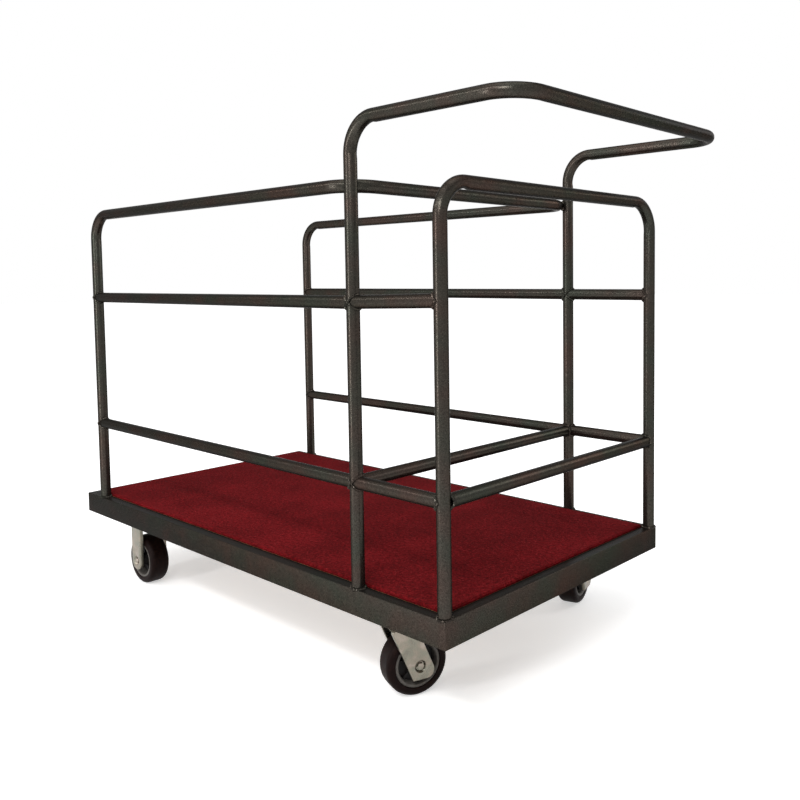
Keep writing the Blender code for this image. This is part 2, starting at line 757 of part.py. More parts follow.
def build_casters():
    trails = {"near": NEAR_TRAIL, "far": FAR_TRAIL}
    for side, y in (("near", CASTER_INSET_Y), ("far", PLATFORM_WIDTH - CASTER_INSET_Y)):
        for kind, x in (
            ("rigid", CASTER_INSET_X),
            ("swivel", PLATFORM_LENGTH - CASTER_INSET_X),
        ):
            name = f"{kind}_{side}"
            place = at(x, y)
            holes = bolt_hole_cutter(f"cutter_{name}_bolts", place)
            pad = add_piece(
                f"caster_pad_{name}", plate_mesh(PAD, PAD_BOTTOM), bronze_paint(), place
            )
            cut(pad, holes)
            turn = 0.0
            axle = Vector((0, 0, AXLE_HEIGHT))
            if kind == "swivel":
                turn = trails[side]
                axle += Matrix.Rotation(turn, 3, "Z") @ Vector((SWIVEL_OFFSET, 0, 0))
                build_swivel_head(side, place)
                cut(bpy.data.objects[f"swivel_plate_{side}"], holes)
                build_swivel_fork(f"swivel_fork_{side}", place, turn)
            else:
                build_rigid_fork(f"rigid_fork_{side}", place, holes)
            build_axle(name, place + axle, turn)
            build_wheel(name, place + axle, turn)


def main():
    for old in list(bpy.data.objects):
        bpy.data.objects.remove(old)
    build_frame()
    build_cross_members()
    build_deck()
    build_bent_tubes()
    build_straight_rails()
    build_low_crossbars()
    build_casters()


main()
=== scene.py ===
"""Hotel luggage cart in its finishes: powder-coated tube with its welds, needle-punch carpet,
zinc-plated casters and moulded wheels. Every size is in metres. Each piece's mesh is made in
the cart's own coordinates, with its object at the origin."""

import json
import math

import bmesh
import bpy
from mathutils import Matrix, Vector, noise


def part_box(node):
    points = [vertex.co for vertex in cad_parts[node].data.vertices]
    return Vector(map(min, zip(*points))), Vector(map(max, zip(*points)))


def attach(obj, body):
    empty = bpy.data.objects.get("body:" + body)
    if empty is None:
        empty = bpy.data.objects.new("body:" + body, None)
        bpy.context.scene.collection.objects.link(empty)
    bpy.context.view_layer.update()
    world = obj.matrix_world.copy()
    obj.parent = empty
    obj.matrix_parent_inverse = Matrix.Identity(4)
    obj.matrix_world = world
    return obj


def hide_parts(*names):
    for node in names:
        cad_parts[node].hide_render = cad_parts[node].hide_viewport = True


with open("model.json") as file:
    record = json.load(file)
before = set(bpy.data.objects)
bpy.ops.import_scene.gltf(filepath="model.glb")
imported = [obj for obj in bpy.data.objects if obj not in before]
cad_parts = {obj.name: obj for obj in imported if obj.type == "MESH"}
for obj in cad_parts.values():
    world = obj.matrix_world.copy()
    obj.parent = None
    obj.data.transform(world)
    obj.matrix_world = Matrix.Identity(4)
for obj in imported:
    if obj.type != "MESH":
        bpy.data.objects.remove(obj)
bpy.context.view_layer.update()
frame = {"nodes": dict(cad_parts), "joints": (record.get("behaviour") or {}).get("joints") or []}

MM = 0.001
GAP = 0.3 * MM  # left between faces that touch
TUBE = 12.7 * MM  # outer radius of every round tube
TUBE_SIDES = 40
BEND_RADIUS = 62 * MM
BEND_FLAT = 0.12  # how much the inner side of a bend flattens in the bender
BEAD = 2.9 * MM  # radius of a fillet weld's bead
BEAD_PITCH = 2.2 * MM  # between the ripples of a weld
TREAD_HALF = 24 * MM  # half widths along the axle: tread, hub, and the fork's parts
HUB_HALF = 26 * MM
FORK_INNER = 27.5 * MM
FORK_SEAT = 31 * MM
FORK_OUTER = 36.5 * MM
FORK_GAUGE = 3.5 * MM
FORK_ROLL = 2.2 * MM  # radius of the pressing's rolled edges
SWIVEL_LEG = 48 * MM
RIGID_LEG = 46 * MM
SWIVEL_OFFSET = 38 * MM  # from the swivel's axis to the axle
FORK_RAKE = math.radians(22.5)
SWIVEL_FOOT = 26 * MM  # how far a swivel fork reaches below its axle
PLATE_LENGTH = 105 * MM
PLATE_WIDTH = 85 * MM
PLATE_THICKNESS = 4 * MM
PLATE_CORNER = 8 * MM
BOLT_PLACES = [(x * MM, y * MM) for x in (-40, 40) for y in (-30, 30)]
HEX_HALF = 6.5 * MM  # half of an M8 head or nut across its flats
SHANK = 4 * MM  # radius of an M8 bolt
BOLT_END = 3.4 * MM  # its radius past the chamfer
KINGPIN = 6 * MM
RACE_BORE = 12 * MM

ROOT = "cart"
SIDES = ("near", "far")


# ---------------------------------------------------------------- places, from the CAD nodes

frame_low, frame_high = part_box("frame_long_rail_near")
frame_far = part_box("frame_long_rail_far")[1].y
handle_low, handle_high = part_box("handle_hoop")
loop_low, loop_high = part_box("top_rail_loop")
guard_low, guard_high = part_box("end_hoop")

FRAME_TOP = frame_high.z
OPEN_END, HANDLE_END = frame_low.x, frame_high.x
NEAR_EDGE, FAR_EDGE = frame_low.y, frame_far
RAIL_Y = {"near": handle_low.y + TUBE, "far": handle_high.y - TUBE}
OPEN_POST_X = loop_low.x + TUBE
HANDLE_POST_X = handle_low.x + TUBE
GUARD_POST_X = guard_low.x + TUBE
HANDLE_BAR_X = handle_high.x - TUBE
HANDLE_Z = handle_high.z - TUBE
LOOP_Z = loop_high.z - TUBE
GUARD_Z = guard_high.z - TUBE
LOW_RAIL_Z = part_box("low_rail_long_near")[1].z - TUBE
JOINTS = {joint["name"]: joint for joint in frame["joints"]}


# ---------------------------------------------------------------- materials


def linear(code):
    """A colour in linear light, from its sRGB hex value."""
    parts = [int(code[index : index + 2], 16) / 255 for index in (1, 3, 5)]
    return (
        *[c / 12.92 if c <= 0.04045 else ((c + 0.055) / 1.055) ** 2.4 for c in parts],
        1.0,
    )


def add_node(tree, kind, settings=None, stops=(), **inputs):
    """A node with its settings, and the (place, hex colour) stops of its ramp. An input is a
    value or a socket to link from, under its socket's name, or its number after _."""
    node = tree.nodes.new("ShaderNode" + kind)
    for name, value in (settings or {}).items():
        setattr(node, name, value)
    for index, (position, code) in enumerate(stops):
        ramp = node.color_ramp.elements
        stop = ramp[index] if index < len(ramp) else ramp.new(position)
        stop.position = position
        stop.color = linear(code)
    for name, value in inputs.items():
        socket = node.inputs[int(name[1:])] if name[1:].isdigit() else node.inputs[name]
        if isinstance(value, bpy.types.NodeSocket):
            tree.links.new(value, socket)
        else:
            socket.default_value = value
    return node.outputs


def new_material(name, **shader_inputs):
    """A material, its node tree, its shader and the piece's own coordinates."""
    material = bpy.data.materials.new(name)
    material.use_nodes = True
    tree = material.node_tree
    shader = tree.nodes["Principled BSDF"]
    for key, value in shader_inputs.items():
        shader.inputs[key.replace("_", " ")].default_value = value
    place = add_node(tree, "TexCoord")["Object"]
    return material, tree, shader, place


RGB = {"data_type": "RGBA"}
MULTIPLY = {"data_type": "RGBA", "blend_type": "MULTIPLY"}


def bronze_powder_coat(name, shine):
    """Sprayed and baked powder full of bronze flakes, so it shines like a dark metal. It
    dries to a fine pebbled skin that breaks each highlight into specks, and leans to brown
    in one place and olive in another. Its colour is darkened in the pebbles' low spots as
    painted shade, and lightened in fine specks over the flakes as painted glints. The pebbles
    are near 1 mm, drawn at 2.4 mm so that they show. shine is how much smoother it lies than
    on plain tube, as it does on welds."""
    material, tree, shader, place = new_material(
        name, Metallic=0.76, Specular_IOR_Level=0.1, Specular_Tint=linear("#5e5650")
    )
    drift = add_node(tree, "TexNoise", Vector=place, Scale=1 / (90 * MM), Detail=2.0)[0]
    pebbles = add_node(
        tree, "TexNoise", Vector=place, Scale=1 / (2.4 * MM), Detail=2.0, Roughness=0.6
    )[0]
    flakes = add_node(tree, "TexNoise", Vector=place, Scale=1 / (1.5 * MM), Detail=1.0)[0]
    body = add_node(
        tree,
        "ValToRGB",
        stops=[(0.32, "#453a35"), (0.50, "#3f3b36"), (0.68, "#3b3d37")],
        Fac=drift,
    )[0]
    # painted shade: the pebble noise, which also raises the bump, darkens the colour where the
    # pebbles lie low
    pebble_hollow_shade = add_node(
        tree, "ValToRGB", stops=[(0.36, "#747474"), (0.52, "#cccccc"), (0.70, "#ffffff")], Fac=pebbles
    )[0]
    body = add_node(tree, "Mix", MULTIPLY, _0=0.5, _6=body, _7=pebble_hollow_shade)[2]
    # painted glints: lighter specks mixed into the colour where the flake noise is high, partly the
    # flakes' own paler tone
    flake_and_painted_glint = add_node(tree, "MapRange", Value=flakes, _1=0.62, _2=0.74, _3=0.0, _4=0.25)[0]
    body = add_node(tree, "Mix", RGB, _0=flake_and_painted_glint, _6=body, _7=linear("#7a6f62"))[2]
    smooth = {"_3": 0.34 - shine, "_4": 0.20 - shine}
    rough = add_node(tree, "MapRange", Value=pebbles, _1=0.3, _2=0.7, **smooth)[0]
    bump = add_node(tree, "Bump", Height=pebbles, Distance=0.26 * MM, Strength=0.8)[0]
    tree.links.new(body, shader.inputs["Base Color"])
    tree.links.new(rough, shader.inputs["Roughness"])
    tree.links.new(bump, shader.inputs["Normal"])
    return material


def needle_punch_carpet():
    """Polypropylene fibre needled into felt. Its matted pile is mottled red, with painted shade
    in the dips of the pile and between its tufts, painted highlight on the raised fibre ends,
    and soft broad patches where it has been trodden. The fibres are finer than 1 mm, drawn at
    2.4 mm so that they show."""
    material, tree, shader, place = new_material(
        "needle_punch_carpet",
        Roughness=1.0,
        Specular_IOR_Level=0.04,
        Sheen_Weight=0.05,
        Sheen_Roughness=0.5,
        Sheen_Tint=linear("#d04048"),
    )
    pressed = add_node(tree, "Mapping", Vector=place, Scale=(0.8, 1.0, 1.0))[0]
    fibres = add_node(
        tree,
        "TexNoise",
        Vector=pressed,
        Scale=1 / (2.4 * MM),
        Detail=4.0,
        Roughness=0.7,
        Distortion=0.6,
    )[0]
    tufts = add_node(
        tree, "TexNoise", Vector=place, Scale=1 / (7 * MM), Detail=3.0, Roughness=0.65
    )[0]
    trodden = add_node(tree, "TexNoise", Vector=place, Scale=1 / (150 * MM), Detail=3.0)[0]
    # partly the fibres' own red and partly painted light: the fibre noise, which also raises the nap,
    # paints shade where it is low and highlight on the raised fibre ends
    body = add_node(
        tree,
        "ValToRGB",
        stops=[(0.28, "#3a0506"), (0.46, "#671014"), (0.60, "#82191e"), (0.78, "#c04c4e")],
        Fac=fibres,
    )[0]
    shade = add_node(tree, "ValToRGB", stops=[(0.32, "#8c8c8c"), (0.66, "#ffffff")], Fac=tufts)[0]
    body = add_node(tree, "Mix", MULTIPLY, _0=0.85, _6=body, _7=shade)[2]
    patch = add_node(tree, "ValToRGB", stops=[(0.36, "#d0c8c8"), (0.62, "#ffffff")], Fac=trodden)[0]
    body = add_node(tree, "Mix", MULTIPLY, _0=0.9, _6=body, _7=patch)[2]
    soft = add_node(tree, "Bump", Height=tufts, Distance=1.0 * MM, Strength=0.6)[0]
    nap = add_node(tree, "Bump", Height=fibres, Distance=0.8 * MM, Strength=0.9, Normal=soft)[0]
    tree.links.new(body, shader.inputs["Base Color"])
    tree.links.new(nap, shader.inputs["Normal"])
    return material


def zinc_plate():
    """Bright zinc over pressed steel, passivated: a soft metal shine with broad cloudy
    patches that lean to green and to pink, and faint lines left by rolling."""
    material, tree, shader, place = new_material("zinc_plate", Metallic=1.0)
    clouds = add_node(
        tree, "TexNoise", Vector=place, Scale=1 / (34 * MM), Detail=2.0, Distortion=0.8
    )[0]
    spangle = add_node(tree, "TexNoise", Vector=place, Scale=1 / (1.6 * MM), Detail=2.0)[0]
    rolled = add_node(tree, "Mapping", Vector=place, Scale=(8.0, 8.0, 0.6))[0]
    lines = add_node(tree, "TexNoise", Vector=rolled, Scale=1 / (6 * MM), Detail=2.0)[0]
    body = add_node(
        tree,
        "ValToRGB",
        stops=[(0.32, "#79756b"), (0.46, "#828074"), (0.58, "#8d8579"), (0.70, "#a0968c")],
        Fac=clouds,
    )[0]
    dull = add_node(tree, "ValToRGB", stops=[(0.30, "#dcdcdc"), (0.70, "#ffffff")], Fac=spangle)[0]
    body = add_node(tree, "Mix", MULTIPLY, _0=0.7, _6=body, _7=dull)[2]
    rough = add_node(tree, "MapRange", Value=clouds, _1=0.3, _2=0.7, _3=0.24, _4=0.4)[0]
    bump = add_node(tree, "Bump", Height=lines, Distance=0.12 * MM, Strength=0.3)[0]
    tree.links.new(body, shader.inputs["Base Color"])
    tree.links.new(rough, shader.inputs["Roughness"])
    tree.links.new(bump, shader.inputs["Normal"])
    return material


def moulded_nylon(name, hollow, crest):
    """Glass-filled nylon, moulded: an even colour with a fine matt grain. The band round the
    disc is grey, and the disc and ribs take the same nylon darkened near black, as painted
    shade in the wheel's recess."""
    material, tree, shader, place = new_material(name, Specular_IOR_Level=0.2)
    mottle = add_node(tree, "TexNoise", Vector=place, Scale=1 / (5 * MM), Detail=2.0)[0]
    fine = add_node(tree, "TexNoise", Vector=place, Scale=1 / (1.2 * MM), Detail=2.0)[0]
    body = add_node(tree, "ValToRGB", stops=[(0.3, hollow), (0.7, crest)], Fac=mottle)[0]
    rough = add_node(tree, "MapRange", Value=fine, _1=0.3, _2=0.7, _3=0.42, _4=0.58)[0]
    bump = add_node(tree, "Bump", Height=fine, Distance=0.08 * MM, Strength=0.5)[0]
    tree.links.new(body, shader.inputs["Base Color"])
    tree.links.new(rough, shader.inputs["Roughness"])
    tree.links.new(bump, shader.inputs["Normal"])
    return material


def brown_tread():
    """Cast polyurethane, nearly black with a brown cast. It is a little dusty and scuffed
    round the wheel, and keeps a soft shine between."""
    material, tree, shader, place = new_material("brown_polyurethane", Specular_IOR_Level=0.05)
    dust = add_node(
        tree, "TexNoise", Vector=place, Scale=1 / (11 * MM), Detail=4.0, Roughness=0.65
    )[0]
    fine = add_node(tree, "TexNoise", Vector=place, Scale=1 / (1.5 * MM), Detail=2.0)[0]
    body = add_node(
        tree,
        "ValToRGB",
        stops=[(0.38, "#120908"), (0.60, "#190e0c"), (0.82, "#2c1f1b")],
        Fac=dust,
    )[0]
    rough = add_node(tree, "MapRange", Value=dust, _1=0.3, _2=0.75, _3=0.38, _4=0.62)[0]
    bump = add_node(tree, "Bump", Height=fine, Distance=0.10 * MM, Strength=0.4)[0]
    tree.links.new(body, shader.inputs["Base Color"])
    tree.links.new(rough, shader.inputs["Roughness"])
    tree.links.new(bump, shader.inputs["Normal"])
    return material


def sealed_plywood():
    """Rotary-cut birch ply, lacquered: broad wavy grain along the board with fine pores."""
    material, tree, shader, place = new_material("sealed_plywood", Roughness=0.5)
    along = add_node(tree, "Mapping", Vector=place, Scale=(0.12, 1.0, 1.0))[0]
    waves = add_node(
        tree, "TexNoise", Vector=along, Scale=1 / (22 * MM), Detail=3.0, Distortion=2.5
    )[0]
    pores = add_node(tree, "TexNoise", Vector=along, Scale=1 / (1.6 * MM), Detail=2.0)[0]
    body = add_node(
        tree,
        "ValToRGB",
        stops=[(0.25, "#8a6a45"), (0.45, "#a98559"), (0.60, "#967247"), (0.80, "#b7946a")],
        Fac=waves,
    )[0]
    pore = add_node(tree, "ValToRGB", stops=[(0.30, "#8c8c8c"), (0.50, "#ffffff")], Fac=pores)[0]
    body = add_node(tree, "Mix", MULTIPLY, _0=0.6, _6=body, _7=pore)[2]
    bump = add_node(tree, "Bump", Height=pores, Distance=0.1 * MM, Strength=0.5)[0]
    tree.links.new(body, shader.inputs["Base Color"])
    tree.links.new(bump, shader.inputs["Normal"])
    return material


BRONZE = bronze_powder_coat("bronze_powder_coat", 0.0)
BRONZE_WELD = bronze_powder_coat("bronze_powder_coat_over_welds", 0.16)
CARPET = needle_punch_carpet()
ZINC = zinc_plate()
# painted shade: the grey nylon darkened near black for the disc and ribs, which sit in the wheel's
# recess
RECESS_SHADED_NYLON = moulded_nylon("grey_nylon_darkened_as_recess_shade", "#171514", "#211e1c")
BAND = moulded_nylon("grey_nylon", "#4e4a46", "#5e5a55")
TREAD = brown_tread()
PLYWOOD = sealed_plywood()


# ---------------------------------------------------------------- shaping


def make_piece(name, bm, material, body=ROOT, stands_for=(), place=None, bevel=0.0):
    """A finished piece from a bmesh, riding on its body and standing for its CAD nodes."""
    if place is not None:
        bm.transform(place)
    bmesh.ops.recalc_face_normals(bm, faces=bm.faces)
    mesh = bpy.data.meshes.new(name)
    bm.to_mesh(mesh)
    bm.free()
    mesh.materials.append(material)
    mesh.shade_smooth()
    mesh.set_sharp_from_angle(angle=math.radians(35))
    piece = bpy.data.objects.new(name, mesh)
    bpy.context.scene.collection.objects.link(piece)
    if bevel:
        edges = piece.modifiers.new("broken edges", "BEVEL")
        edges.width = bevel
        edges.segments = 3
        edges.limit_method = "ANGLE"
        edges.angle_limit = math.radians(40)
        edges.harden_normals = True
    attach(piece, body)
    if stands_for:
        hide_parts(*stands_for)
    return piece


def join_rings(bm, rings, closed=False):
    """Faces between rings of vertices one after another, which may end in single vertices."""
    pairs = list(zip(rings, rings[1:]))
    if closed:
        pairs.append((rings[-1], rings[0]))
    for first, second in pairs:
        count = max(len(first), len(second))
        for step in range(count):
            following = (step + 1) % count
            loop = [first[step % len(first)], first[following % len(first)]]
            loop += [second[following % len(second)], second[step % len(second)]]
            bm.faces.new(list(dict.fromkeys(loop)))


def add_turned(bm, profile, sides, place=None, closed=True, hexagon=False):
    """Adds a shape turned about z. Each point of the profile is (radius, height). A hexagon
    is cut back to its six flats, where the first value is half its width across flats, and
    (limit, height, corner) also keeps it within the radius corner, as a chamfer does."""
    rings = []
    for radius, height, *limit in profile:
        if radius == 0:
            rings.append([bm.verts.new((0, 0, height))])
            continue
        ring = []
        for step in range(sides):
            turn = 2 * math.pi * step / sides
            reach = radius
            if hexagon:
                reach = radius / math.cos(turn % (math.pi / 3) - math.pi / 6)
                reach = min(reach, *limit) if limit else reach
            ring.append(bm.verts.new((reach * math.cos(turn), reach * math.sin(turn), height)))
        rings.append(ring)
    join_rings(bm, rings, closed)
    if place is not None:
        bmesh.ops.transform(bm, matrix=place, verts=[v for ring in rings for v in ring])


def add_box(bm, low, high, place=None):
    low, high = Vector(low), Vector(high)
    made = bmesh.ops.create_cube(bm, size=1.0)["verts"]
    bmesh.ops.scale(bm, vec=high - low, verts=made)
    bmesh.ops.translate(bm, vec=(low + high) / 2, verts=made)
    if place is not None:
        bmesh.ops.transform(bm, matrix=place, verts=made)


def rounded_rectangle(width, height, radius, steps=5):
    """Points round a rectangle with round corners, about its middle."""
    points = []
    for quarter, (sx, sy) in enumerate(((1, 1), (-1, 1), (-1, -1), (1, -1))):
        centre = (sx * (width / 2 - radius), sy * (height / 2 - radius))
        for step in range(steps + 1):
            turn = math.pi / 2 * (quarter + step / steps)
            points.append(
                (centre[0] + radius * math.cos(turn), centre[1] + radius * math.sin(turn))
            )
    return points


def add_prism(bm, outline, low, high, place=None):
    """Adds an upright prism from a flat outline."""
    rings = [[bm.verts.new((x, y, z)) for x, y in outline] for z in (low, high)]
    join_rings(bm, rings)
    bm.faces.new(rings[0])
    bm.faces.new(rings[1])
    if place is not None:
        bmesh.ops.transform(bm, matrix=place, verts=rings[0] + rings[1])


# ---------------------------------------------------------------- tubes


def bend_stations(corners, radius, steps=16):
    """Stations along a bent tube: its centre line, and which way and how much it is flattened.
    The bender's shoe flattens the inner side most where a bend starts and ends."""
    corners = [Vector(corner) for corner in corners]
    stations = [(corners[0], Vector())]
    for before, corner, after in zip(corners, corners[1:], corners[2:]):
        back = (before - corner).normalized()
        ahead = (after - corner).normalized()
        centre = corner + (back + ahead) * radius
        axis = (-ahead).cross(-back).normalized()
        for step in range(-1, steps + 2):
            part = min(max(step / steps, 0.0), 1.0)
            arm = Matrix.Rotation(math.pi / 2 * part, 3, axis) @ (-ahead * radius)
            point = centre + arm
            if step == -1:
                point += back * radius * 0.12
            if step == steps + 1:
                point += ahead * radius * 0.12
            ends = 1.0 + 0.8 * math.cos(2 * math.pi * part)
            press = 0.0 if step in (-1, steps + 1) else BEND_FLAT * ends / 1.8
            stations.append((point, -arm.normalized() * press))
    return stations + [(corners[-1], Vector())]


def add_tube(bm, stations, radius=TUBE, sides=TUBE_SIDES):
    """Adds the outer surface of a tube along its stations."""
    points = [point for point, _ in stations]
    side = (points[1] - points[0]).orthogonal().normalized()
    rings = []
    for index, (point, press) in enumerate(stations):
        ahead = points[min(index + 1, len(points) - 1)] - points[max(index - 1, 0)]
        ahead.normalize()
        side = (side - ahead * side.dot(ahead)).normalized()
        up = ahead.cross(side)
        ring = []
        for step in range(sides):
            turn = 2 * math.pi * step / sides
            arm = (math.cos(turn) * side + math.sin(turn) * up) * radius
            inner = arm.dot(press.normalized()) if press.length else 0.0
            if inner > 0:
                arm -= press * inner
            ring.append(bm.verts.new(point + arm))
        rings.append(ring)
    join_rings(bm, rings)


def joint_curve(centre, along, across, count):
    """Where a tube that leaves a joint along one direction meets the tubes of equal size
    that run there along the directions in across. Gives each point and its outward arm."""
    side = along.orthogonal().normalized()
    up = along.cross(side)
    curve = []
    for step in range(count):
        turn = 2 * math.pi * step / count
        arm = (math.cos(turn) * side + math.sin(turn) * up) * TUBE
        reach = 0.0
        for direction in across:
            off = arm - direction * arm.dot(direction)
            reach = max(reach, math.sqrt(max(TUBE * TUBE - off.length_squared, 0.0)))
        curve.append((centre + arm + along * reach, arm))
    return curve


def add_bead(bm, points, centre, size, seed, closed=True):
    """Adds a weld bead: a round ridge along the points, rippled where each pool froze."""
    lengths = [0.0]
    loop = points + points[:1] if closed else points
    for start, end in zip(loop, loop[1:]):
        lengths.append(lengths[-1] + (end - start).length)
    total = lengths[-1]
    count = max(int(total / (BEAD_PITCH / 3)), 6)
    path = []
    index = 0
    for step in range(count if closed else count + 1):
        target = total * step / count
        while index < len(lengths) - 2 and lengths[index + 1] < target:
            index += 1
        span = lengths[index + 1] - lengths[index]
        part = (target - lengths[index]) / span if span else 0.0
        path.append(loop[index].lerp(loop[index + 1], part))
    rings = []
    for step, point in enumerate(path):
        before = path[step - 1] if closed or step else path[0]
        after = path[(step + 1) % len(path)] if closed or step < len(path) - 1 else path[-1]
        ahead = (after - before).normalized()
        out = point - centre
        out = (out - ahead * out.dot(ahead)).normalized()
        up = ahead.cross(out)
        ripple = 0.12 * math.sin(2 * math.pi * step / 3)
        lump = 0.35 * noise.noise(Vector((step * 0.21, seed * 3.7, 0.5)))
        radius = size * (1 + ripple + lump)
        if not closed:
            end = min(step, len(path) - 1 - step)
            radius *= math.sqrt(min(1.0, (end + 0.4) / 3))
        ring = []
        for corner in range(8):
            turn = 2 * math.pi * corner / 8
            ring.append(bm.verts.new(point + radius * (math.cos(turn) * out + math.sin(turn) * up)))
        rings.append(ring)
    join_rings(bm, rings, closed)
    if not closed:
        bm.faces.new(rings[0])
        bm.faces.new(rings[-1])


def make_bent_tubes():
    near, far = RAIL_Y["near"], RAIL_Y["far"]
    routes = {
        "push_handle_tube": (
            "handle_hoop",
            (HANDLE_POST_X, near, FRAME_TOP),
            (HANDLE_POST_X, near, HANDLE_Z),
            (HANDLE_BAR_X, near, HANDLE_Z),
            (HANDLE_BAR_X, far, HANDLE_Z),
            (HANDLE_POST_X, far, HANDLE_Z),
            (HANDLE_POST_X, far, FRAME_TOP),
        ),
        "rail_loop_tube": (
            "top_rail_loop",
            (OPEN_POST_X, near, FRAME_TOP),
            (OPEN_POST_X, near, LOOP_Z),
            (HANDLE_POST_X, near, LOOP_Z),
            (HANDLE_POST_X, far, LOOP_Z),
            (OPEN_POST_X, far, LOOP_Z),
            (OPEN_POST_X, far, FRAME_TOP),
        ),
        "end_guard_tube": (
            "end_hoop",
            (GUARD_POST_X, near, FRAME_TOP),
            (GUARD_POST_X, near, GUARD_Z),
            (GUARD_POST_X, far, GUARD_Z),
            (GUARD_POST_X, far, FRAME_TOP),
        ),
    }
    for name, (node, *corners) in routes.items():
        bm = bmesh.new()
        add_tube(bm, bend_stations(corners, BEND_RADIUS))
        make_piece(name, bm, BRONZE, stands_for=[node])


def make_coped_tube(name, node, start, end, across, welds, seed):
    """A straight tube between two joints, coped at each, with a bead round both ends."""
    start, end = Vector(start), Vector(end)
    along = (end - start).normalized()
    bm = bmesh.new()
    first = joint_curve(start, along, across, TUBE_SIDES)
    turned = joint_curve(Vector(), along, across, TUBE_SIDES)
    last = [end + arm - (point - arm) for point, arm in turned]
    rings = [
        [bm.verts.new(point) for point, _ in first],
        [bm.verts.new(point) for point in last],
    ]
    join_rings(bm, rings)
    make_piece(name, bm, BRONZE, stands_for=[node])
    for centre, direction in ((start, along), (end, -along)):
        curve = joint_curve(centre, direction, across, 72)
        beads = [point + arm * 0.03 + direction * 0.0007 for point, arm in curve]
        add_bead(welds, beads, centre + direction * TUBE, BEAD, seed)
        seed += 1


def make_straight_tubes():
    """The side rails and the low crossbars, and the welds at their ends."""
    welds = bmesh.new()
    upright = [Vector((0, 0, 1))]
    seed = 0
    for side in SIDES:
        y = RAIL_Y[side]
        for level in ("middle", "low"):
            for reach, x0, x1 in (
                ("long", OPEN_POST_X, HANDLE_POST_X),
                ("short", HANDLE_POST_X, GUARD_POST_X),
            ):
                node = f"{level}_rail_{reach}_{side}"
                low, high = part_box(node)
                z0, z1 = low.z + TUBE, high.z - TUBE
                make_coped_tube(
                    f"side_rail_{level}_{reach}_{side}",
                    node,
                    (x0, y, z0),
                    (x1, y, z1),
                    upright,
                    welds,
                    seed,
                )
                seed += 2
    for name, x in (("handle", HANDLE_POST_X), ("end", GUARD_POST_X)):
        make_coped_tube(
            f"crossbar_low_{name}",
            f"low_crossbar_{name}",
            (x, RAIL_Y["near"], LOW_RAIL_Z),
            (x, RAIL_Y["far"], LOW_RAIL_Z),
            upright + [Vector((1, 0, 0))],
            welds,
            seed,
        )
        seed += 2
    make_piece("weld_beads_rail_ends", welds, BRONZE_WELD)


def make_post_welds():
    """Beads round the posts' feet, and stitches where the loop's bends lie on the handle."""
    feet = bmesh.new()
    stitches = bmesh.new()
    for index, side in enumerate(SIDES):
        y = RAIL_Y[side]
        inward = 1 if side == "near" else -1
        for post, x in enumerate((OPEN_POST_X, HANDLE_POST_X, GUARD_POST_X)):
            centre = Vector((x, y, FRAME_TOP))
            ring = []
            for step in range(48):
                turn = 2 * math.pi * step / 48
                arm = Vector((math.cos(turn), math.sin(turn), 0)) * (TUBE + 0.5 * MM)
                ring.append(centre + arm + Vector((0, 0, 0.4 * MM)))
            add_bead(feet, ring, centre, BEAD * 1.1, 40 + 3 * index + post)
        post_axis = Vector((HANDLE_POST_X, y, LOOP_Z))
        towards = Vector((-1, inward, 0)).normalized()
        touch = post_axis + towards * TUBE
        sideways = Vector((inward, 1, 0)).normalized()
        for rise in (-1, 1):
            middle = touch + Vector((0, 0, rise * 7.5 * MM))
            line = [middle + sideways * (step - 3) * 2.4 * MM for step in range(7)]
            add_bead(stitches, line, middle - towards, BEAD * 1.25, 60 + index, closed=False)
    make_piece("weld_beads_post_feet", feet, BRONZE_WELD)
    make_piece("weld_stitches_loop_to_handle", stitches, BRONZE_WELD)


# ---------------------------------------------------------------- platform


def make_platform_frame():
    """The mitred frame of rectangular tube, welded and ground flush at its corners."""
    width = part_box("frame_end_rail_open")[1].x - OPEN_END
    low, high = frame_low.z, FRAME_TOP
    section = rounded_rectangle(width, high - low, 1.6 * MM, 4)
    bm = bmesh.new()
    rings = []
    for across, up in section:
        inset = width / 2 + across
        z = (low + high) / 2 + up
        corners = (
            (OPEN_END + inset, NEAR_EDGE + inset),
            (HANDLE_END - inset, NEAR_EDGE + inset),
            (HANDLE_END - inset, FAR_EDGE - inset),
            (OPEN_END + inset, FAR_EDGE - inset),
        )
        rings.append([bm.verts.new((x, y, z)) for x, y in corners])
    join_rings(bm, rings, closed=True)
    nodes = ["frame_long_rail_near", "frame_long_rail_far"]
    nodes += ["frame_end_rail_open", "frame_end_rail_handle"]
    make_piece("platform_frame", bm, BRONZE, stands_for=nodes, bevel=0.9 * MM)


